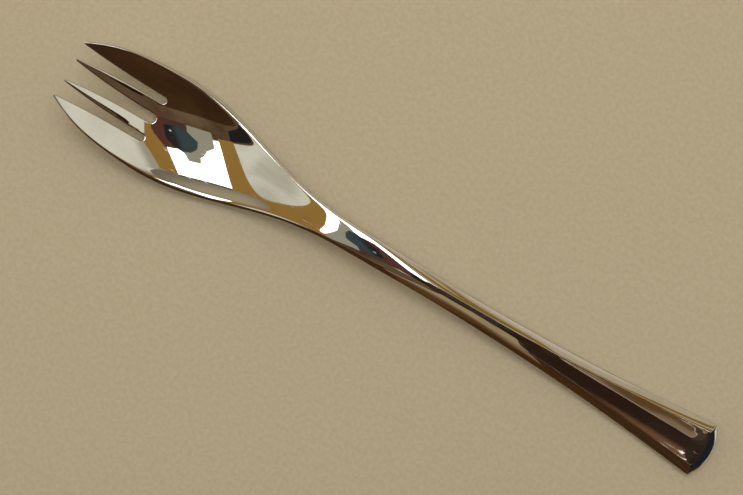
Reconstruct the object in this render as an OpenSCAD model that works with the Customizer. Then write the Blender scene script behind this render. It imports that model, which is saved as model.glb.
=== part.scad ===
// Dinner fork with four tines, pressed from one piece of stainless steel.
// It lies as on a table: the tines point along +X, and the heel of the bowl and a flat place
// under the handle touch Z = 0. The origin is at the middle of its footprint.

/* [Overall] */
// Length from the handle end to the tips of the outer tines
length = 196; // [188:1:206]

/* [Handle] */
// Width of the handle at its end
end_width = 15.5; // [13:0.1:18]
// Radius of the rounded end, seen from above
end_radius = 13; // [11:0.5:30]
// Width of the bevel that follows the rounded end
end_bevel = 2.6; // [1.6:0.1:3.4]
// Thickness of the handle on its centre line, at the end
end_thickness = 3; // [2.4:0.1:4]
// Width of the handle at its narrowest place
waist_width = 6.5; // [5.4:0.1:7]
// Distance of the narrowest place from the handle end
waist_station = 84; // [78:1:92]
// Thickness of the shaft where its ridge is highest
shaft_thickness = 4; // [3.6:0.1:4.8]
// Distance from the handle end to the point where the hollow panel runs out
panel_length = 57; // [48:1:64]
// Depth of the hollow panel below its creases
panel_depth = 0.45; // [0.1:0.05:0.9]
// Run of the panel's closing slope at the handle end
panel_end_run = 5; // [2:0.2:6]
// Width of the sloping flank between crease and edge, near the handle end
flank_width = 2.5; // [1.8:0.1:3]
// Fall of the flank from the crease to the edge
flank_drop = 1.3; // [0.9:0.1:1.6]
// Height of the upright edge round the handle
edge_height = 0.7; // [0.3:0.1:1]

/* [Arch] */
// Height of the underside above the table at the top of the arch
arch_height = 6.8; // [5:0.2:9]
// Distance of the top of the arch from the handle end
arch_station = 110; // [106:1:114]
// Radius of the underside at the top of the arch
arch_radius = 103; // [80:1:150]
// Distance from the handle end to the flat place on which the handle rests
rest_station = 15; // [10:1:24]
// Length of that flat place
rest_length = 6; // [4:0.5:10]
// Radius of the underside beside the flat place, along the handle
rest_radius = 100; // [60:5:160]
// Height of the underside above the table at the handle end
end_lift = 0.5; // [0.2:0.05:0.8]

/* [Head] */
// Width of the neck at the shoulder, where the head begins to swell
neck_width = 7.7; // [6.6:0.1:8]
// Distance of the shoulder from the tips
shoulder_to_tips = 80; // [78:1:84]
// Thickness of the neck
neck_thickness = 3.5; // [3:0.1:4.5]
// Width and fall of the rounding along the edges of the neck
neck_round = 0.7; // [0.4:0.1:1]
// Width of the head at its widest place
head_width = 28.6; // [26:0.2:32]
// Distance of the widest place from the tips
widest_to_tips = 28; // [27:0.5:30]
// Distance of the heel, the lowest place of the bowl, from the tips
heel_to_tips = 42; // [39:1:46]
// Radius of the underside along the heel
heel_radius = 37.5; // [30:0.5:50]
// Depth of the bowl below its rims at the widest place
bowl_depth = 3; // [2:0.1:4]
// Thickness of the bowl on its centre line
bowl_thickness = 1.8; // [1.4:0.1:2.4]
// Width of the rounded band along the rims, beside the heel
rim_band = 1; // [0.6:0.1:1.5]
// Fall of that band from the rim to the edge
rim_fall = 0.7; // [0.4:0.1:1]
// Height of the upright edge of the rim
rim_height = 0.8; // [0.4:0.1:1.1]

/* [Tines] */
// Length of the outer tines, from the ends of the slots to the tips
tine_length = 24.7; // [23:0.1:27]
// How much shorter the two inner tines are
inner_tine_shortfall = 0.4; // [0:0.1:1.5]
// Width over the outer sides of the outer tips
tip_span = 16.2; // [14:0.2:19]
// Width of each tip
tip_width = 0.55; // [0.4:0.05:1]
// Distance of an inner tine's centre from the fork's centre line
inner_tine_offset = 3.05; // [2.8:0.05:3.3]
// Width of an inner tine at its root
inner_tine_width = 3.5; // [3:0.1:4]
// Width of the slot between an inner and an outer tine, at its root
side_slot_width = 1.8; // [1.2:0.1:2.4]
// Thickness of the tines at their roots
root_thickness = 2; // [1.5:0.1:2.5]
// Thickness of the tines at their tips
tip_thickness = 0.9; // [0.6:0.1:1.4]
// Height of the underside of the tips above the table
tip_lift = 12.9; // [10:0.1:16]
// Width of the rounding along the edges of the head and tines
edge_round = 0.35; // [0.2:0.05:0.5]

/* [Hidden] */

// Stations along the fork, counted from the handle end
shoulder_x = length - shoulder_to_tips;
widest_x = length - widest_to_tips;
heel_x = length - heel_to_tips;
root_x = length - tine_length;

// A curve along the fork is a list of knots [station, value, slope, bend]. Between two knots
// it is the quintic that meets both with their slopes and bends, so reflections run smoothly.
function span(a, b, x) =
    let (h = b[0] - a[0],
         t = (x - a[0]) / h,
         rise = b[1] - a[1],
         s0 = h * a[2],
         s1 = h * b[2],
         k0 = h * h * a[3],
         k1 = h * h * b[3],
         c3 = 10 * rise - 6 * s0 - 4 * s1 - 1.5 * k0 + 0.5 * k1,
         c4 = -15 * rise + 8 * s0 + 7 * s1 + 1.5 * k0 - k1,
         c5 = 6 * rise - 3 * s0 - 3 * s1 - 0.5 * k0 + 0.5 * k1)
    a[1] + t * (s0 + t * (k0 / 2 + t * (c3 + t * (c4 + t * c5))));

function curve(knots, x, i = 0) =
    x <= knots[0][0] ? knots[0][1] :
    i == len(knots) - 2 || x <= knots[i + 1][0] ? span(knots[i], knots[i + 1], x) :
    curve(knots, x, i + 1);

// Half of the outline's width, seen from above
half_width = [
    [0, end_width / 2, -0.058, -0.005],
    [waist_station, waist_width / 2, 0, 0.0022],
    [shoulder_x, neck_width / 2, 0.052, 0.011],
    [widest_x, head_width / 2, 0, -0.0214],
    [length, tip_span / 2, -0.55, -0.023]];

// Height of the underside on the centre line: the handle climbs almost straight to the arch, the
// neck falls steeply to the heel, and the head rises to the tips. Under the handle it dips below
// the table, where the flat place is ground off.
rest_middle = rest_station + rest_length / 2;
rest_dip = 1.3 * rest_length * rest_length / (8 * rest_radius);
climb_run = arch_station - rest_middle;
fall_run = heel_x - arch_station;
head_run = length - heel_x;
underside = [
    [0, end_lift, -1.4 * end_lift / rest_middle, 0],
    [rest_middle, -rest_dip, 0, 1 / rest_radius],
    [rest_middle + 0.4 * climb_run, 0.3 * arch_height, 1.24 * arch_height / climb_run, 0],
    [arch_station, arch_height, 0, -1 / arch_radius],
    [arch_station + 0.545 * fall_run, 0.52 * arch_height, -1.56 * arch_height / fall_run, -0.0053],
    [heel_x, 0, 0, 1 / heel_radius],
    [heel_x + 0.38 * head_run, 0.18 * tip_lift, 0.945 * tip_lift / head_run, 0.0164],
    [length, tip_lift, 1.45 * tip_lift / head_run, 0]];

// Thickness on the centre line
thickness = [
    [0, end_thickness, 0, 0],
    [panel_length, shaft_thickness, 0.005, 0],
    [arch_station, neck_thickness, -0.018, -0.0016],
    [heel_x, bowl_thickness, 0, 0],
    [root_x, root_thickness, 0, 0],
    [length, tip_thickness, -0.06, 0]];

// Width of the flank between the crease and the edge: a slope on the handle, which meets its
// twin in a ridge where the panel runs out, and only a rounded edge on the neck and head
ridge_half = 1.05;
ridge_x = panel_length + 0.55 * (waist_station - panel_length);
flank = [
    [0, flank_width, 0, 0],
    [panel_length - 18, flank_width - 0.3, 0.01, 0.001],
    [panel_length, curve(half_width, panel_length) - 1.4 * ridge_half, 0.004, 0],
    [ridge_x, curve(half_width, ridge_x) - ridge_half, 0.004, 0],
    [waist_station, waist_width / 2 - 0.8 * ridge_half, -0.02, -0.005],
    [arch_station, neck_round, -0.012, 0.003],
    [heel_x, rim_band, 0, 0],
    [length, edge_round, 0, 0]];

// Fall from the crease to the edge
drop = [
    [0, flank_drop, 0, 0],
    [panel_length, flank_drop + 0.4, 0, 0],
    [waist_station, flank_drop + 0.2, -0.02, 0],
    [arch_station, neck_round, -0.01, 0],
    [heel_x, rim_fall, 0, 0],
    [length, edge_round, 0, 0]];

// Height of the upright edge
edge = [
    [0, edge_height, 0, 0],
    [arch_station, edge_height + 0.4, 0, 0],
    [heel_x, rim_height, 0, 0],
    [length, rim_height / 2, -0.01, 0]];

// Depth of the centre line below the creases or rims: hollow where positive, crowned where negative.
// The panel has one curvature all along, so has the ridge beyond it, and so has the dish from the
// widest place to the tips. Where the panel runs out, its curvature passes into the ridge's.
function panel_half(x) = curve(half_width, x) - curve(flank, x);
widest_half = panel_half(widest_x);
tip_half = panel_half(length);
dish = bowl_depth / (widest_half * widest_half);
neck_crown = 0.22;
crown_x = arch_station - 4;
run_out = 16;
hollow = [
    [crown_x, -neck_crown, -0.035 * neck_crown, 0.001],
    [shoulder_x + 10, 0.093 * bowl_depth, 0.039, 0.0027],
    [heel_x - 6, 0.587 * bowl_depth, 0.12, 0.001],
    [widest_x, bowl_depth, 0, -0.009],
    [length, dish * tip_half * tip_half, -1.1 * dish * tip_half, 0.003]];
function sunk(x) =
    x >= crown_x ? curve(hollow, x) :
    let (on_panel = panel_depth * pow(panel_half(x) / panel_half(0), 2),
         on_ridge = -neck_crown * pow(panel_half(x) / panel_half(crown_x), 2),
         t = min(1, max(0, (x - panel_length) / run_out + 0.5)))
    on_panel + (on_ridge - on_panel) * t * t * (3 - 2 * t);

// How squarely the underside turns up at the edges
fullness = [
    [0, 1.6, 0, 0],
    [arch_station, 2.5, 0, 0],
    [heel_x, 2, 0, 0],
    [length, 2, 0, 0]];

// Share of the underside between the creases that is flat
flat_share = [
    [0, 1, 0, 0],
    [rest_station + 2 * rest_length, 1, 0, 0],
    [panel_length, 0.1, 0, 0],
    [arch_station, 0, 0, 0],
    [length, 0, 0, 0]];

// Stations of the sections: close at the end bevel, the slot ends and the tips, with one at each end
// of the flat place and one at the heel
bevel_steps = 3;
end_steps = 2;
rest_steps = 2;
handle_steps = 51;
bowl_steps = 7;
slot_steps = 6;
tine_steps = 9;
tip_steps = 4;
slot_round = side_slot_width / 2;
tip_round = tip_width * 1.2;
panel_steps = 4;
body_x = end_bevel + panel_end_run;
rest_end = rest_station + rest_length;
tine_x = root_x + 1.5 * slot_round;
round_x = length - tip_round;
stations = [
    for (i = [0 : bevel_steps - 1]) end_bevel * i / bevel_steps,
    for (i = [0 : panel_steps - 1]) end_bevel + panel_end_run * i / panel_steps,
    for (i = [0 : end_steps - 1]) body_x + (rest_station - body_x) * i / end_steps,
    for (i = [0 : rest_steps - 1]) rest_station + rest_length * i / rest_steps,
    for (i = [0 : handle_steps - 1]) rest_end + (heel_x - rest_end) * i / handle_steps,
    for (i = [0 : bowl_steps - 1]) heel_x + (root_x - heel_x) * i / bowl_steps,
    for (i = [0 : slot_steps - 1]) root_x + (tine_x - root_x) * (1 - cos(90 * i / slot_steps)),
    for (i = [0 : tine_steps - 1]) tine_x + (round_x - tine_x) * i / tine_steps,
    for (i = [0 : tip_steps]) round_x + tip_round * sin(80 * i / tip_steps)];
root_row = bevel_steps + panel_steps + end_steps + rest_steps + handle_steps + bowl_steps;

// Edges of the tines at a station, for the half of the fork on the +Y side. Each slot's sides
// run together in a half round at its end, and each tip is rounded off.
side_slot_y = inner_tine_offset + inner_tine_width / 2 + side_slot_width / 2;
function rounded(d, r) = d >= r ? 1 : sqrt(max(0, 1 - pow(1 - d / r, 2)));
function taper(x) = pow(max(0, x - root_x) / tine_length, 2.5);
function inner_half(x) = (inner_tine_width + (tip_width - inner_tine_width) * taper(x)) / 2;
function outer_side(x) =
    let (root_y = side_slot_y + side_slot_width / 2)
    root_y + (tip_span / 2 - tip_width - root_y) * taper(x);
function tine_edges(x) =
    x <= root_x ?
        let (slot_y = side_slot_y * panel_half(x) / panel_half(root_x))
        [0, slot_y, slot_y, curve(half_width, x)] :
    let (d = x - root_x,
         near = inner_tine_offset - inner_half(x),
         far = inner_tine_offset + inner_half(x),
         beyond = outer_side(x),
         slot_mid = (far + beyond) / 2,
         open = rounded(d, slot_round),
         wide = curve(half_width, x),
         pinch = rounded(length - x, tip_round),
         tip_mid = (beyond + wide) / 2)
    [inner_tine_offset + (near * rounded(d, near) - inner_tine_offset) * pinch,
     inner_tine_offset + (slot_mid + (far - slot_mid) * open - inner_tine_offset) * pinch,
     tip_mid + (slot_mid + (beyond - slot_mid) * open - tip_mid) * pinch,
     tip_mid + (wide - tip_mid) * pinch];

// Across each tine: shares of its width at which the section has points
inner_cells = [0, 0.16, 0.5, 0.84, 1];
outer_cells = [0, 0.1, 0.4, 0.7, 1];
flank_cells = [0.5, 1];
function inner_columns(e) = [for (s = inner_cells) e[0] + (e[1] - e[0]) * s];
function outer_columns(e, width) =
    let (crease = e[3] - min(width, 0.4 * (e[3] - e[2])))
    concat([for (s = outer_cells) e[2] + (crease - e[2]) * s],
           [for (s = flank_cells) crease + (e[3] - crease) * s]);

// Offset of the curved sections that follow the rounded end
end_fade = 14;
function end_curve(x, y) =
    x >= end_fade ? 0 :
    (end_radius - sqrt(end_radius * end_radius - y * y)) * pow(1 - x / end_fade, 2);

// The flank leaves its crease at this share of its mean slope, and steepens towards the edge
first_slope = 0.7;
function flank_fall(s) = s * (first_slope + (1 - first_slope) * s);
// Upper and lower points of one tine, or of that strip of the body
function strip(x, ys, e, part_x) =
    let (wide = curve(half_width, x),
         crease = wide - curve(flank, x),
         low = curve(underside, x),
         ground = max(0, low),
         depth = sunk(x),
         shoulder = low + curve(thickness, x) + depth,
         fall = curve(drop, x),
         edge_low = shoulder - fall - curve(edge, x),
         flat = crease * curve(flat_share, x),
         full = curve(fullness, x),
         end_slope = max(0, 1 - x / end_bevel),
         end_wall = 1 - pow(1 - min(1, max(0, x - end_bevel) / panel_end_run), 2),
         slot_rise = rounded(max(0, x - root_x), slot_round))
    [for (y = ys)
        let (across = min(1, max(0, y - crease) / (wide - crease)),
             fallen = fall * flank_fall(max(across, end_slope)),
             inside = min(1, y / crease),
             sunk = depth * (1 - inside * inside) * (x < panel_length ? end_wall : 1),
             up = min(1, max(0, y - flat) / (wide - flat)),
             lift = (edge_low - ground) * pow(max(up, end_slope), full),
             at_slot = y == e[0] || y == e[1] ? slot_rise * edge_round / 2 : 0,
             px = part_x + end_curve(x, y) - length / 2)
        [[px, y, shoulder - sunk - fallen - at_slot],
         [px, y, ground + lift + at_slot]]];

// The four strips of a section, from -Y to +Y
function mirrored(points) =
    [for (i = [len(points) - 1 : -1 : 0])
        [for (p = points[i]) [p[0], -p[1], p[2]]]];
function section(x) =
    let (e = tine_edges(x),
         short = x <= root_x ? 0 : inner_tine_shortfall * (x - root_x) / tine_length,
         inner = strip(x, inner_columns(e), [e[0], e[1]], x - short),
         outer = strip(x, outer_columns(e, curve(flank, x)), [e[2], e[2]], x))
    [mirrored(outer), mirrored(inner), inner, outer];

// One closed skin: upper and lower faces, outer edges, slot sides, and both ends
module fork() {
    sections = [for (x = stations) section(x)];
    counts = [for (strip = sections[0]) len(strip)];
    starts = [0, counts[0], counts[0] + counts[1], counts[0] + counts[1] + counts[2]];
    per_row = starts[3] + counts[3];
    last = len(stations) - 1;
    function upper(i, k, j) = 2 * (i * per_row + starts[k] + j);
    function lower(i, k, j) = upper(i, k, j) + 1;
    points = [for (row = sections) for (strip = row) for (pair = strip) for (p = pair) p];
    // Each four-cornered face is split on the diagonal that mirrors its twin's
    function split(a, b, c, d, flip) = flip ? [[a, b, d], [b, c, d]] : [[a, b, c], [a, c, d]];
    skins = [
        for (i = [0 : last - 1]) for (k = [0 : 3]) for (j = [0 : counts[k] - 2])
            for (f = concat(
                split(upper(i, k, j), upper(i, k, j + 1),
                      upper(i + 1, k, j + 1), upper(i + 1, k, j), k < 2),
                split(lower(i + 1, k, j), lower(i + 1, k, j + 1),
                      lower(i, k, j + 1), lower(i, k, j), k < 2))) f];
    // The side of a strip that faces -Y, then the one that faces +Y
    walls = [
        for (i = [0 : last - 1]) for (k = [0 : 3])
            for (f = concat(
                k == 0 || i >= root_row ?
                    split(upper(i, k, 0), upper(i + 1, k, 0),
                          lower(i + 1, k, 0), lower(i, k, 0), false) : [],
                k == 3 || i >= root_row ?
                    split(upper(i + 1, k, counts[k] - 1), upper(i, k, counts[k] - 1),
                          lower(i, k, counts[k] - 1), lower(i + 1, k, counts[k] - 1), true) : [])) f];
    ends = [
        for (k = [0 : 3]) for (j = [0 : counts[k] - 2])
            for (f = concat(
                split(upper(0, k, j + 1), upper(0, k, j), lower(0, k, j), lower(0, k, j + 1), true),
                split(upper(last, k, j), upper(last, k, j + 1),
                      lower(last, k, j + 1), lower(last, k, j), true))) f];
    color("silver") polyhedron(points, concat(skins, walls, ends), convexity = 8);
}

fork();
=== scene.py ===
import math

import bmesh
import bpy
import numpy as np
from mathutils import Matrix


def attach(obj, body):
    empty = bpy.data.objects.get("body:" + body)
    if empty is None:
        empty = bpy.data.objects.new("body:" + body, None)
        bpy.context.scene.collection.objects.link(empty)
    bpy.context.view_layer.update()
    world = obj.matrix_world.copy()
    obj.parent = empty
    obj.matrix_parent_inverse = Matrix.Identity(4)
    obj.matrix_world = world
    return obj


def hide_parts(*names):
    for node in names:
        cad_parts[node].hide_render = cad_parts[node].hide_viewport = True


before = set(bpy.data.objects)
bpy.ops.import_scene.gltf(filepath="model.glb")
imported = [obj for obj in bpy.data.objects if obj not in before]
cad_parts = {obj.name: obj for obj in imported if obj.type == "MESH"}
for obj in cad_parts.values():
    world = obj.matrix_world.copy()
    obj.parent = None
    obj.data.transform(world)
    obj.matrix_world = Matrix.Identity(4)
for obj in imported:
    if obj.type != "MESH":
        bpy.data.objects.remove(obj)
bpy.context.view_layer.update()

# The viewpoint: a camera on a stand, looking straight down at the fork lying on a table.
# The fork runs from the upper left of the picture to its lower right.
MM = 0.001
picture_width, picture_height = 743, 495
fork_slant = math.radians(31.05)
camera_height = 450 * MM
view_width = 198.0 * MM
view_centre = (7.2 * MM, -0.75 * MM)
sensor_width = 36.0

camera_data = bpy.data.cameras.new("overhead_camera")
camera_data.sensor_width = sensor_width
camera_data.lens = sensor_width * camera_height / view_width
camera = bpy.data.objects.new("overhead_camera", camera_data)
camera.location = (*view_centre, camera_height)
camera.rotation_euler = (0, 0, math.pi + fork_slant)
bpy.context.scene.collection.objects.link(camera)
bpy.context.scene.camera = camera

# The fork: one strip of stainless steel, blanked, rolled thin towards the tines, pressed into its
# dished and arched form, and polished all over. Handle, neck, bowl and tines are one piece.
# Sizes are in millimetres, and stations are counted from the handle end.
length = 196.0
waist_x, arch_x, shoulder_x, heel_x, widest_x = 84.0, 110.0, 116.0, 154.0, 168.0
tine_length = 24.7
root_x = length - tine_length
end_width, end_radius, end_bevel, end_fade = 15.5, 13.0, 2.6, 14.0
panel_length, panel_depth, panel_end_run = 57.0, 0.45, 5.0
flank_width, flank_drop, first_slope = 2.5, 1.3, 0.7
ridge_half, neck_crown, neck_round = 1.05, 0.22, 0.7
waist_width, neck_width, head_width, tip_span = 6.5, 7.7, 28.6, 16.2
bowl_depth, rim_band, rim_fall, edge_round = 3.0, 1.0, 0.7, 0.35
edge_height, rim_height = 0.7, 0.8
rest_x, rest_length, rest_radius, end_lift = 15.0, 6.0, 100.0, 0.5
arch_height, arch_radius, heel_radius, tip_lift = 6.8, 103.0, 37.5, 12.9


def along(knots, x):
    """Value at each station of a smooth curve through knots [station, value, slope, bend]."""
    x = np.asarray(x, float)
    value = np.full(x.shape, float(knots[0][1]))
    for a, b in zip(knots, knots[1:]):
        h = b[0] - a[0]
        t = (x - a[0]) / h
        rise = b[1] - a[1]
        s0, s1, k0, k1 = h * a[2], h * b[2], h * h * a[3], h * h * b[3]
        c3 = 10 * rise - 6 * s0 - 4 * s1 - 1.5 * k0 + 0.5 * k1
        c4 = -15 * rise + 8 * s0 + 7 * s1 + 1.5 * k0 - k1
        c5 = 6 * rise - 3 * s0 - 3 * s1 - 0.5 * k0 + 0.5 * k1
        piece = a[1] + t * (s0 + t * (k0 / 2 + t * (c3 + t * (c4 + t * c5))))
        value = np.where(x > a[0], piece, value)
    return value


half_width = [
    (0, end_width / 2, -0.058, -0.005),
    (waist_x, waist_width / 2, 0, 0.0022),
    (shoulder_x, neck_width / 2, 0.052, 0.011),
    (widest_x, head_width / 2, 0, -0.0214),
    (length, tip_span / 2, -0.55, -0.023),
]
rest_middle = rest_x + rest_length / 2
climb, fall_run, head_run = arch_x - rest_middle, heel_x - arch_x, length - heel_x
underside = [
    (0, end_lift, -1.4 * end_lift / rest_middle, 0),
    (rest_middle, -1.3 * rest_length**2 / (8 * rest_radius), 0, 1 / rest_radius),
    (rest_middle + 0.4 * climb, 0.3 * arch_height, 1.24 * arch_height / climb, 0),
    (arch_x, arch_height, 0, -1 / arch_radius),
    (arch_x + 0.545 * fall_run, 0.52 * arch_height, -1.56 * arch_height / fall_run, -0.0053),
    (heel_x, 0, 0, 1 / heel_radius),
    (heel_x + 0.38 * head_run, 0.18 * tip_lift, 0.945 * tip_lift / head_run, 0.0164),
    (length, tip_lift, 1.45 * tip_lift / head_run, 0),
]
thickness = [
    (0, 3.0, 0, 0),
    (panel_length, 4.0, 0.005, 0),
    (arch_x, 3.5, -0.018, -0.0016),
    (heel_x, 1.8, 0, 0),
    (root_x, 2.0, 0, 0),
    (length, 0.9, -0.06, 0),
]
ridge_x = panel_length + 0.55 * (waist_x - panel_length)
flank = [
    (0, flank_width, 0, 0),
    (panel_length - 18, flank_width - 0.3, 0.01, 0.001),
    (panel_length, float(along(half_width, panel_length)) - 1.4 * ridge_half, 0.004, 0),
    (ridge_x, float(along(half_width, ridge_x)) - ridge_half, 0.004, 0),
    (waist_x, waist_width / 2 - 0.8 * ridge_half, -0.02, -0.005),
    (arch_x, neck_round, -0.012, 0.003),
    (heel_x, rim_band, 0, 0),
    (length, edge_round, 0, 0),
]
drop = [
    (0, flank_drop, 0, 0),
    (panel_length, flank_drop + 0.4, 0, 0),
    (waist_x, flank_drop + 0.2, -0.02, 0),
    (arch_x, neck_round, -0.01, 0),
    (heel_x, rim_fall, 0, 0),
    (length, edge_round, 0, 0),
]
edge = [
    (0, edge_height, 0, 0),
    (arch_x, edge_height + 0.4, 0, 0),
    (heel_x, rim_height, 0, 0),
    (length, rim_height / 2, -0.01, 0),
]


def panel_half(x):
    """Half width between the creases of the handle, or between the rims of the bowl."""
    return along(half_width, x) - along(flank, x)


dish = bowl_depth / float(panel_half(widest_x)) ** 2
tip_half = float(panel_half(length))
crown_x = arch_x - 4
hollow = [
    (crown_x, -neck_crown, -0.035 * neck_crown, 0.001),
    (shoulder_x + 10, 0.093 * bowl_depth, 0.039, 0.0027),
    (heel_x - 6, 0.587 * bowl_depth, 0.12, 0.001),
    (widest_x, bowl_depth, 0, -0.009),
    (length, dish * tip_half**2, -1.1 * dish * tip_half, 0.003),
]
run_out = 16


def sunk(x):
    """Depth of the centre line below the creases or rims, which is negative where it stands above them."""
    on_panel = panel_depth * (panel_half(x) / float(panel_half(0.0))) ** 2
    on_ridge = -neck_crown * (panel_half(x) / float(panel_half(crown_x))) ** 2
    t = np.clip((x - panel_length) / run_out + 0.5, 0, 1)
    handle = on_panel + (on_ridge - on_panel) * t * t * (3 - 2 * t)
    return np.where(x < crown_x, handle, along(hollow, x))


fullness = [(0, 1.6, 0, 0), (arch_x, 2.5, 0, 0), (heel_x, 2, 0, 0), (length, 2, 0, 0)]
flat_share = [
    (0, 1, 0, 0),
    (rest_x + 2 * rest_length, 1, 0, 0),
    (panel_length, 0.1, 0, 0),
    (arch_x, 0, 0, 0),
    (length, 0, 0, 0),
]
# How far the polish has rounded the outline's upper edge, and how softly the crease or rim
rim_rounding = [
    (0, 0.14, 0, 0),
    (panel_length, 0.14, 0, 0),
    (arch_x, 0.2, 0, 0),
    (heel_x, 0.3, 0, 0),
    (length, 0.3, 0, 0),
]
softness = [
    (0, 0.07, 0, 0),
    (panel_length, 0.07, 0, 0),
    (arch_x, 0.4, 0, 0),
    (heel_x, 0.5, 0, 0),
    (length, 0.12, 0, 0),
]
bevel_soft, mitre = 0.1, 10

# The tines: slots with half-round ends, rounded tips, and a narrow facet along the outer side of each
# inner tine, which fades out towards the tine's root
tip_width, inner_offset, inner_width, side_slot = 0.55, 3.05, 3.5, 1.8
inner_shortfall, taper_power, tine_round = 0.4, 2.5, 0.3
facet_slope, facet_share, facet_soft, facet_start, facet_run = 0.16, 0.34, 0.1, 2, 7
side_slot_y = inner_offset + inner_width / 2 + side_slot / 2
middle_radius = inner_offset - inner_width / 2
tip_round = tip_width * 1.2


def rounded(d, r):
    """Share of full width at a distance d from the pole of a round end of radius r."""
    return np.sqrt(np.clip(1 - np.clip(1 - d / r, 0, 1) ** 2, 0, 1))


def slot_sides(x):
    """Inner and outer side of the inner tine, and inner side of the outer tine, ignoring round ends."""
    t = np.clip((x - root_x) / tine_length, 0, 1) ** taper_power
    half = (inner_width + (tip_width - inner_width) * t) / 2
    start = side_slot_y + side_slot / 2
    return inner_offset - half, inner_offset + half, start + (tip_span / 2 - tip_width - start) * t


def tine_edges(x):
    """Edges of the inner and the outer strip of one half of the fork at each station."""
    near, far, beyond = slot_sides(x)
    wide = along(half_width, x)
    middle = (far + beyond) / 2
    d = np.maximum(0, x - root_x)
    open_side = rounded(d, side_slot / 2)
    pinch = rounded(length - x, tip_round)
    tip_middle = (beyond + wide) / 2
    tine = [
        inner_offset + (near * rounded(d, middle_radius) - inner_offset) * pinch,
        inner_offset + (middle + (far - middle) * open_side - inner_offset) * pinch,
        tip_middle + (middle + (beyond - middle) * open_side - tip_middle) * pinch,
        tip_middle + (wide - tip_middle) * pinch,
    ]
    line = side_slot_y * panel_half(x) / float(panel_half(root_x))
    body = [np.zeros_like(x), line, line, wide]
    return [np.where(x > root_x, a, b) for a, b in zip(tine, body)]


def ramp(t, soft):
    """max(0, t) with its corner rounded over about soft."""
    return (t + np.sqrt(t * t + soft * soft)) / 2


def edge_cut(d, r):
    """Drop of a quarter-round edge of radius r at a distance d from the edge."""
    q = np.clip(1 - d / r, 0, 1)
    return r * (1 - np.sqrt(np.clip(1 - q * q, 0, 1)))


def heights(x, y):
    """Heights of the upper and the lower skin at a station and a distance from the centre line."""
    wide, band = along(half_width, x), along(flank, x)
    crease = wide - band
    low = along(underside, x)
    depth, fall, soft = sunk(x), along(drop, x), along(softness, x)
    shoulder = low + along(thickness, x) + depth
    upright = along(edge, x)
    edge_low = shoulder - fall - upright
    out = ramp(y - crease, soft)
    end_slope = ramp(end_bevel - x, bevel_soft) / end_bevel
    s = ((out / band) ** mitre + end_slope**mitre) ** (1 / mitre)
    inside = (y - out) / crease
    end_wall = 1 - (1 - np.clip(ramp(x - end_bevel, bevel_soft) / panel_end_run, 0, 1)) ** 2
    closing = np.where(x < panel_length, end_wall, 1)
    top = shoulder - depth * (1 - inside**2) * closing - fall * s * (first_slope + (1 - first_slope) * s)
    flat = crease * along(flat_share, x)
    up = np.clip((y - flat) / (wide - flat), 0, 1)
    under_end = np.clip(1 - x / end_bevel, 0, 1)
    ground = np.maximum(0, low)
    bottom = ground + (edge_low - ground) * np.maximum(up, under_end) ** along(fullness, x)
    # Quarter-round edges: the outline, the handle end, and both kinds of slot
    rim_round = np.minimum(along(rim_rounding, x), 0.4 * upright)
    outline = np.minimum(wide - y, np.where(x < end_fade, x, end_fade))
    near, far, beyond = slot_sides(x)
    middle, half = (far + beyond) / 2, (beyond - far) / 2
    centre_x, side_x = root_x + middle_radius, root_x + side_slot / 2
    to_middle = np.where(x < centre_x, np.hypot(x - centre_x, y) - middle_radius, y - near)
    to_side = np.where(
        x < side_x, np.hypot(x - side_x, y - side_slot_y) - side_slot / 2, np.abs(y - middle) - half)
    at_slot = edge_cut(np.maximum(0, np.minimum(to_middle, to_side)), tine_round)
    at_rim = edge_cut(np.maximum(0, outline), rim_round)
    faded_in = np.clip((x - root_x - facet_start) / facet_run, 0, 1) * (y < middle)
    facet = facet_slope * ramp(facet_share * (far - near) - to_side, facet_soft) * faded_in
    return top - at_rim - at_slot - facet, bottom + at_rim + at_slot


def crowded(count, crowd):
    """Shares from 0 to 1, closer together at both ends."""
    u = np.linspace(0, 1, count + 1)
    return u - crowd * np.sin(2 * np.pi * u) / (2 * np.pi)


slot_pole = 1.2
stations = np.concatenate([
    end_bevel * crowded(18, 0.8)[:-1],
    end_bevel + panel_end_run * np.linspace(0, 1, 13)[:-1] ** 1.6,
    np.linspace(end_bevel + panel_end_run, root_x - slot_pole, 170)[:-1],
    root_x - slot_pole * np.linspace(1, 0, 12)[:-1] ** 1.5,
    root_x + 1.5 * middle_radius * (1 - np.cos(np.linspace(0, np.pi / 2, 16)[:-1])),
    np.linspace(root_x + 1.5 * middle_radius, length - 2 * tip_round, 44)[:-1],
    length - 2 * tip_round + 2 * tip_round * np.sin(np.linspace(0, 1.5, 14)),
])
root_row = int(np.searchsorted(stations, root_x - 1e-6))


def strip_points(x, y, shown_x):
    """Upper and lower grid of one strip, in millimetres in the fork's own frame."""
    upper, lower = heights(x, y)
    round_end = np.where(x < end_fade, (1 - np.minimum(x, end_fade) / end_fade) ** 2, 0)
    sag = end_radius - np.sqrt(np.maximum(0, end_radius**2 - np.minimum(y, end_radius) ** 2))
    px = shown_x + sag * round_end - length / 2
    return np.stack([px, y, upper], -1), np.stack([px, y, lower], -1)


def half_strips():
    """The inner and the outer strip of the half of the fork on the +Y side."""
    x = stations[:, None]
    e = [edge_y[:, None] for edge_y in tine_edges(stations)]
    inner_y = e[0] + (e[1] - e[0]) * crowded(20, 0.8)[None, :]
    crease = e[3] - np.minimum(along(flank, x), 0.4 * (e[3] - e[2]))
    outer_y = np.concatenate([
        e[2] + (crease - e[2]) * crowded(24, 0.8)[None, :-1],
        crease + (e[3] - crease) * crowded(14, 0.6)[None, :],
    ], 1)
    short = inner_shortfall * np.clip(x - root_x, 0, None) / tine_length
    return [strip_points(np.broadcast_to(x, y.shape), y, x - move)
            for y, move in ((inner_y, short), (outer_y, 0 * x))]


points, quads = [], []


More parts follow.
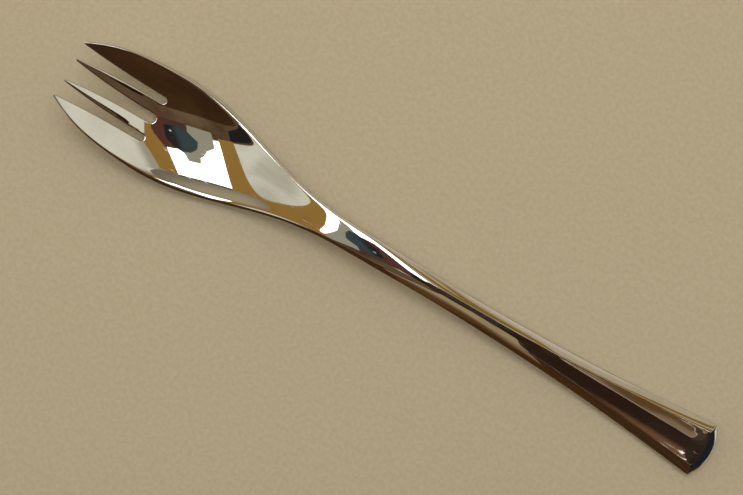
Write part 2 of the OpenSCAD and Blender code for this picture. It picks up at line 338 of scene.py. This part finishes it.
def add_sheet(grid):
    """Adds a grid of points and the four-cornered faces between them."""
    n, m = grid.shape[:2]
    index = sum(len(p) for p in points) + np.arange(n * m).reshape(n, m)
    points.append(grid.reshape(-1, 3))
    corners = [index[:-1, :-1], index[:-1, 1:], index[1:, 1:], index[1:, :-1]]
    quads.append(np.stack(corners, -1).reshape(-1, 4))


def add_wall(upper_line, lower_line):
    """Adds the upright wall between an upper and a lower edge line."""
    steps = np.linspace(0, 1, 5)[None, :, None]
    add_sheet(upper_line[:, None] + (lower_line - upper_line)[:, None] * steps)


mirror = np.array([1, -1, 1])
inner_strip, outer_strip = half_strips()
for side in (1, mirror):
    for upper, lower in (inner_strip, outer_strip):
        upper, lower = upper * side, lower * side
        add_sheet(upper)
        add_sheet(lower)
        add_wall(upper[0], lower[0])
        add_wall(upper[-1], lower[-1])
        add_wall(upper[root_row:, 0], lower[root_row:, 0])
        past_root = root_row if upper.shape == inner_strip[0].shape else 0
        add_wall(upper[past_root:, -1], lower[past_root:, -1])

fork_mesh = bpy.data.meshes.new("fork_polished")
fork_mesh.from_pydata((np.concatenate(points) * MM).tolist(), [], np.concatenate(quads).tolist())
shape = bmesh.new()
shape.from_mesh(fork_mesh)
bmesh.ops.remove_doubles(shape, verts=shape.verts, dist=0.0002 * MM)
bmesh.ops.recalc_face_normals(shape, faces=shape.faces)
for face in shape.faces:
    face.smooth = True
shape.to_mesh(fork_mesh)
shape.free()
fork = bpy.data.objects.new("fork_polished", fork_mesh)
bpy.context.scene.collection.objects.link(fork)
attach(fork, "root")
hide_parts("fork")


# Polished stainless steel: grey with a warm cast, buffed along its length, with hairline scratches
# from use in the bowl and scuffs underneath, where it slides on the table.
class Flow:
    """A node tree's socket with arithmetic: an expression on sockets adds its Math nodes."""

    def __init__(self, tree, socket=None):
        self.tree, self.socket = tree, socket

    def node(self, kind, settings=None, out=0, **sockets):
        """Adds a node, sets it up, feeds its sockets by name or number, and gives one output."""
        made = self.tree.nodes.new(kind)
        for name, value in (settings or {}).items():
            setattr(made, name, value)
        for name, value in sockets.items():
            key = int(name[1:]) if name[0] == "i" and name[1:].isdigit() else name.replace("_", " ")
            if isinstance(value, Flow):
                self.tree.links.new(value.socket, made.inputs[key])
            else:
                made.inputs[key].default_value = value
        return Flow(self.tree, made.outputs[out])

    def maths(self, operation, *values, clamp=False):
        feeds = {f"i{n}": v for n, v in enumerate(values)}
        return self.node("ShaderNodeMath", {"operation": operation, "use_clamp": clamp}, **feeds)

    def __add__(self, other):
        return self.maths("ADD", self, other)

    def __radd__(self, other):
        return self.maths("ADD", other, self)

    def __sub__(self, other):
        return self.maths("SUBTRACT", self, other)

    def __rsub__(self, other):
        return self.maths("SUBTRACT", other, self)

    def __mul__(self, other):
        return self.maths("MULTIPLY", self, other)

    def __rmul__(self, other):
        return self.maths("MULTIPLY", other, self)

    def step(self, low, high):
        """Smooth rise from 0 at low to 1 at high."""
        return self.node("ShaderNodeMapRange", {"interpolation_type": "SMOOTHSTEP"},
                         Value=self, From_Min=low, From_Max=high)

    def mix(self, low_colour, high_colour):
        """Colour between two colours, with this value as the factor."""
        return self.node("ShaderNodeMix", {"data_type": "RGBA"}, out=2,
                         i0=self, i6=low_colour, i7=high_colour)


steel_grey = (0.60, 0.585, 0.56, 1)
steel_dull = (0.54, 0.525, 0.50, 1)
mirror_roughness = 0.025
buff_haze, smudge_haze, scratch_haze, scuff_haze = 0.02, 0.03, 0.12, 0.18

steel = bpy.data.materials.new("polished_steel")
steel.use_nodes = True
tree = steel.node_tree
shader = tree.nodes["Principled BSDF"]
flow = Flow(tree)
place = flow.node("ShaderNodeTexCoord", out=3)


def grain(stretch, turn=0.0, detail=2.0):
    """Noise drawn out along the fork, with features 1 / stretch metres long in X, Y and Z."""
    held = flow.node("ShaderNodeMapping", Vector=place, Scale=stretch, Rotation=(0, 0, turn))
    return flow.node("ShaderNodeTexNoise", Vector=held, Scale=1.0, Detail=detail)


buffing = grain((70, 3800, 3800))
smudge = grain((90, 130, 130), detail=4.0)
hairline = grain((160, 9000, 200), turn=0.5).step(0.70, 0.76)
crossing = grain((160, 8000, 200), turn=-0.35).step(0.71, 0.77)
scratches = hairline + crossing
facing = flow.node("ShaderNodeNewGeometry", out=1)
turned_down = flow.node("ShaderNodeSeparateXYZ", out=2, Vector=facing).step(-0.75, -0.97)
scuffs = turned_down * grain((2600, 2600, 400), turn=0.2).step(0.5, 0.7)
roughness = mirror_roughness + buffing.step(0.45, 0.75) * buff_haze + smudge.step(0.5, 0.75) * smudge_haze
roughness = roughness + scratches * scratch_haze + scuffs * scuff_haze
tree.links.new(roughness.socket, shader.inputs["Roughness"])
tone = smudge.step(0.35, 0.8).mix(steel_grey, steel_dull)
tree.links.new(tone.socket, shader.inputs["Base Color"])
relief = buffing * 0.3 - scratches * 0.7 - scuffs
bump = flow.node("ShaderNodeBump", Strength=0.25, Distance=0.000004, Height=relief)
tree.links.new(bump.socket, shader.inputs["Normal"])
shader.inputs["Metallic"].default_value = 1.0
fork_mesh.materials.append(steel)

# The table: a plain matt board in pale beige, much larger than the fork, which lies loose on it,
# on the flat place under its handle and on the heel of its bowl.
table_tone, table_fleck = (0.42, 0.355, 0.245, 1), (0.386, 0.326, 0.22, 1)
table_size, table_roughness, table_gap = 3.0, 0.8, 0.05 * MM


def flat_card(name, size, material):
    """A flat rectangle in the XY plane, facing +Z, with its middle at the origin."""
    mesh = bpy.data.meshes.new(name)
    w, h = size[0] / 2, size[1] / 2
    mesh.from_pydata([(-w, -h, 0), (w, -h, 0), (w, h, 0), (-w, h, 0)], [], [(0, 1, 2, 3)])
    mesh.materials.append(material)
    card = bpy.data.objects.new(name, mesh)
    bpy.context.scene.collection.objects.link(card)
    return card


board = bpy.data.materials.new("table_board")
board.use_nodes = True
board_flow = Flow(board.node_tree)
board_shader = board.node_tree.nodes["Principled BSDF"]
board_place = board_flow.node("ShaderNodeTexCoord", out=3)
fibre = board_flow.node("ShaderNodeTexNoise", Vector=board_place, Scale=900.0, Detail=4.0)
flecked = fibre.step(0.3, 0.7).mix(table_tone, table_fleck)
board.node_tree.links.new(flecked.socket, board_shader.inputs["Base Color"])
board_shader.inputs["Roughness"].default_value = table_roughness
table = flat_card("table", (table_size, table_size), board)
table.location = (0, 0, -table_gap)

# The studio: a large softbox overhead with a warm strip on each side, pale walls, and flags and cards
# about the camera and over the handle. Each is seen only as light and in reflections.
picture_up = np.array((math.sin(fork_slant), -math.cos(fork_slant), 0))
picture_right = np.array((-math.cos(fork_slant), -math.sin(fork_slant), 0))
bowl_spot = np.array((56 * MM, 0, 0))
ceiling, camera_level, handle_level, card_level, layer = 1.0, 0.23, 0.25, 0.2, 0.001
backdrop = ceiling + 10 * layer
upward, to_upper_right = (0, 0, 1), (0, -1, 0)


def glow(name, colour, strength, patchy, fade):
    """An emitting material: plain, softly mottled with a second colour, or fading into one along an axis."""
    made = bpy.data.materials.new(name)
    made.use_nodes = True
    nodes = made.node_tree.nodes
    nodes.remove(nodes["Principled BSDF"])
    emit = nodes.new("ShaderNodeEmission")
    emit.inputs["Color"].default_value = (*colour, 1)
    emit.inputs["Strength"].default_value = strength
    shade = Flow(made.node_tree)
    spot = shade.node("ShaderNodeTexCoord", out=3)
    if patchy:
        cloud = shade.node("ShaderNodeTexNoise", Vector=spot, Scale=2.2, Detail=3.0).step(0.35, 0.65)
        made.node_tree.links.new(cloud.mix((*colour, 1), (*patchy, 1)).socket, emit.inputs["Color"])
    if fade:
        second, axis, low, high = fade
        run = shade.node("ShaderNodeVectorMath", {"operation": "DOT_PRODUCT"}, out=1, i0=spot, i1=tuple(axis))
        faded = run.step(low, high).mix((*colour, 1), (*second, 1))
        made.node_tree.links.new(faded.socket, emit.inputs["Color"])
    made.node_tree.links.new(emit.outputs[0], nodes["Material Output"].inputs["Surface"])
    return made


def hang(name, spots, colour, strength=1.0, patchy=None, fade=None):
    """A flat card with its corners at the given spots, unseen by the camera itself."""
    mesh = bpy.data.meshes.new(name)
    mesh.from_pydata([tuple(spot) for spot in spots], [], [tuple(range(len(spots)))])
    mesh.materials.append(glow(name, colour, strength, patchy, fade))
    card = bpy.data.objects.new(name, mesh)
    bpy.context.scene.collection.objects.link(card)
    card.visible_camera = False
    return card


def flag(name, spots, colour, fade=None):
    """A small card that is seen in the steel only and takes no light from the table."""
    card = hang(name, spots, colour, fade=fade)
    card.visible_shadow = False
    card.visible_diffuse = False


def aimed(height, *aims):
    """Spots at one height, each aimed from the bowl by its rightward and upward run per unit of height."""
    return [bowl_spot + height * (picture_right * right + picture_up * up + (0, 0, 1)) for right, up in aims]


def flat(height, *corners):
    """Spots at one height, each given as x and y in the fork's own directions."""
    return [(x, y, height) for x, y in corners]


def level(height, x0, x1, y0, y1):
    """Corners of a level rectangle in the fork's own directions."""
    return flat(height, (x0, y0), (x1, y0), (x1, y1), (x0, y1))


def beside(y, x0, x1, low, high):
    """Corners of an upright rectangle along the fork, at a distance y from its middle."""
    return [(x0, y, low), (x1, y, low), (x1, y, high), (x0, y, high)]


def upright(start, end, low, high):
    """Corners of an upright rectangle between two spots given as right and up."""
    foot = [picture_right * right + picture_up * up for right, up in (start, end)]
    return [foot[0] + (0, 0, low), foot[1] + (0, 0, low), foot[1] + (0, 0, high), foot[0] + (0, 0, high)]


amber, gold, pale = (0.417, 0.235, 0.055), (0.31, 0.195, 0.04), (0.55, 0.45, 0.32)
brown, dark_brown, black = (0.10, 0.052, 0.026), (0.05, 0.024, 0.009), (0.02, 0.022, 0.022)
wall_pale, wall_beige, wall_foot = (0.95, 0.925, 0.765), (0.6, 0.5, 0.35), (0.76, 0.66, 0.51)
softbox_strength = 5.0

hang("softbox", aimed(ceiling, (-0.224, -0.18), (0.405, -0.18), (0.383, 0.521), (-0.303, 0.594)),
     (1, 1, 1), softbox_strength)
hang("warm_strip_left",
     aimed(ceiling, (-0.45, -0.23), (-0.224, -0.23), (-0.303, 0.62), (-0.556, 0.63)), amber)
hang("warm_strip_right",
     aimed(ceiling, (0.405, -0.2), (0.516, -0.2), (0.627, 0.098), (0.57, 0.488), (0.383, 0.54)), amber)
hang("grey_strip", aimed(backdrop, (0.5, 0.02), (0.8, 0.02), (0.8, 0.52), (0.5, 0.52)),
     (0.52, 0.47, 0.36), fade=(wall_pale, picture_right, 0.60, 0.73))
hang("dark_bar", aimed(ceiling, (-0.303, 0.594), (0.383, 0.521), (0.383, 0.545), (-0.303, 0.622)), brown)
hang("beige_strip",
     aimed(backdrop, (-0.556, 0.62), (0.57, 0.50), (0.68, 0.54), (0.86, 0.6), (0.95, 0.95), (-0.62, 0.95)),
     (0.25, 0.22, 0.165), fade=((0.54, 0.46, 0.29), picture_up, 0.58, 0.8))
hang("gold_corner", aimed(ceiling, (0.8, 0.62), (1.3, 0.7), (1.3, 1.12), (0.72, 1.12), (0.72, 0.75)), gold)
hang("beige_wall", upright((-0.4, 2.0), (2.4, 0.65), 0, 1.45), wall_foot,
     fade=(wall_beige, upward, 0.2, 0.6))
hang("left_wall",
     aimed(ceiling + 20 * layer, (-1.4, -0.2), (-0.45, -0.2), (-0.54, 0.63), (-0.62, 0.95), (-1.4, 0.95)),
     wall_pale, patchy=(0.66, 0.63, 0.49))
hang("black_patch", aimed(ceiling, (-0.74, -0.24), (-0.41, -0.22), (-0.425, -0.405), (-0.65, -0.5)), black)
hang("near_brown", aimed(backdrop, (-1.2, -0.5), (1.2, -0.5), (1.2, -0.2), (-1.2, -0.2)), brown,
     patchy=(0.21, 0.14, 0.075))
hang("far_brown", aimed(backdrop, (-2.2, -2.3), (2.2, -2.3), (2.2, -0.5), (-2.2, -0.5)), dark_brown,
     patchy=(0.08, 0.037, 0.014))
hang("dark_wall", upright((-2.2, -2.0), (2.2, -2.0), 0, 1.0), (0.07, 0.032, 0.011))

# Over the bowl and the neck, about the camera: small overlapping flags, hung a few millimetres
# apart, the dark one lowest, with a white spot below it.
teal, plum = (0.05, 0.08, 0.088), (0.1, 0.052, 0.04)
brick, flag_grey = (0.13, 0.047, 0.033), (0.44, 0.41, 0.315)
flag("white_spot",
     aimed(camera_level - 2 * layer, (0.262, -0.15), (0.244, -0.153), (0.25, -0.132), (0.268, -0.129)),
     (1, 0.95, 0.9))
flag("camera_flag",
     aimed(camera_level, (0.035, -0.088), (0.1, -0.19), (0.185, -0.235), (0.29, -0.2), (0.325, -0.036),
           (0.286, 0.054), (0.231, 0.107), (0.141, 0.088), (0.07, 0.018)),
     teal, fade=(black, picture_right, -0.0066, 0.0118))
flag("red_flag",
     aimed(camera_level + 2 * layer, (0.27, -0.28), (0.36, -0.28), (0.424, -0.148), (0.404, 0), (0.373, 0.1),
           (0.265, 0.09)), brick)
flag("plum_flag",
     aimed(camera_level + 3 * layer, (0.08, -0.29), (0.3, -0.29), (0.3, -0.1), (0.12, -0.1)), plum)
flag("grey_flag",
     aimed(camera_level + 4 * layer, (-0.15, -0.28), (0.1, -0.28), (0.12, -0.12), (0.3, 0), (0.3, 0.05),
           (0.212, 0.124), (0.197, 0.224), (0.07, 0.231), (0.06, 0.141), (0.02, 0.105), (-0.04, 0.01),
           (-0.14, -0.05)), flag_grey)

# Over the handle: a dark flag along its panel, russet towards one side, and on the other side
# a beige card with a pale edge before a dark corner.
deep_brown, soot = (0.033, 0.016, 0.009), (0.045, 0.025, 0.016)
flag("handle_flag", level(handle_level, -0.20, -0.035, -0.022, 0.019), deep_brown)
flag("russet_flag", level(handle_level, -0.20, -0.115, -0.075, -0.022), deep_brown,
     fade=((0.21, 0.1, 0.043), to_upper_right, 0.023, 0.046))
flag("end_shade", level(handle_level, -0.115, -0.074, -0.075, -0.022), soot)
flag("white_end",
     flat(handle_level - 5 * layer, (-0.1145, -0.04), (-0.125, -0.044), (-0.1275, -0.0462),
          (-0.1275, -0.0503), (-0.1245, -0.052), (-0.1225, -0.0518), (-0.118, -0.0455), (-0.116, -0.0432)),
     (1.6, 1.5, 1.4))
flag("handle_card",
     flat(card_level, (-0.2, 0.0165), (-0.116, 0.0165), (-0.1085, 0.0205), (-0.1065, 0.026), (-0.1085, 0.03),
          (-0.115, 0.0335), (-0.121, 0.046), (-0.2, 0.075)),
     (0.31, 0.21, 0.125), fade=((0.16, 0.085, 0.033), (-0.9, 1, 0), 0.132, 0.148))
flag("pale_edge",
     flat(card_level + layer, (-0.2, 0.015), (-0.115, 0.015), (-0.1068, 0.0195), (-0.1048, 0.0265),
          (-0.107, 0.0312), (-0.114, 0.035), (-0.12, 0.047), (-0.2, 0.076)), pale)
flag("dark_corner", level(card_level + 3 * layer, -0.135, -0.055, 0.015, 0.12), (0.085, 0.05, 0.034))
flag("corner_fill", level(card_level + 4 * layer, -0.113, -0.055, 0.006, 0.02), soot)

# Beside the shaft: fawn and gold cards low down on either side, a shade over the ridge, and dark
# flags along the table and before the handle's end.
fawn, umber = (0.46, 0.345, 0.195), (0.125, 0.057, 0.018)
flag("ridge_card",
     flat(0.08, (-0.0605, 0.0017), (-0.043, 0.0017), (-0.031, 0.006), (-0.026, 0.06), (-0.066, 0.06),
          (-0.063, 0.014)), fawn)
flag("ridge_shade",
     flat(0.09, (-0.055, -0.001), (-0.027, -0.001), (-0.027, -0.018), (-0.033, -0.022), (-0.037, -0.06),
          (-0.055, -0.06)),
     (0.06, 0.035, 0.023), fade=((0.26, 0.18, 0.11), to_upper_right, 0.017, 0.05))
flag("fawn_card", beside(0.1, -0.068, -0.022, 0.02, 0.13), umber, fade=(fawn, (-1, 0, 1), 0.086, 0.15))
flag("low_flag", beside(0.03, -0.1, 0.03, 0, 0.014), (0.08, 0.034, 0.01))
flag("gold_card", level(0.07, -0.078, -0.042, -0.215, -0.088), gold,
     fade=(wall_beige, to_upper_right, 0.13, 0.21))
flag("gold_line", level(card_level, -0.175, -0.105, -0.23, -0.14), (0.27, 0.145, 0.035),
     fade=(wall_beige, to_upper_right, 0.185, 0.222))
flag("end_flag", upright((0.27, 0.03), (0.11, -0.28), 0.035, 0.2), black)

# The room: an even pale light from all sides.
# Colours are shown as they are, without a film look.
world = bpy.data.worlds.new("studio_walls")
bpy.context.scene.world = world
world.use_nodes = True
wall_light = world.node_tree.nodes["Background"]
wall_light.inputs["Color"].default_value = (*wall_pale, 1)
wall_light.inputs["Strength"].default_value = 1.0
bpy.context.scene.view_settings.view_transform = "Standard"
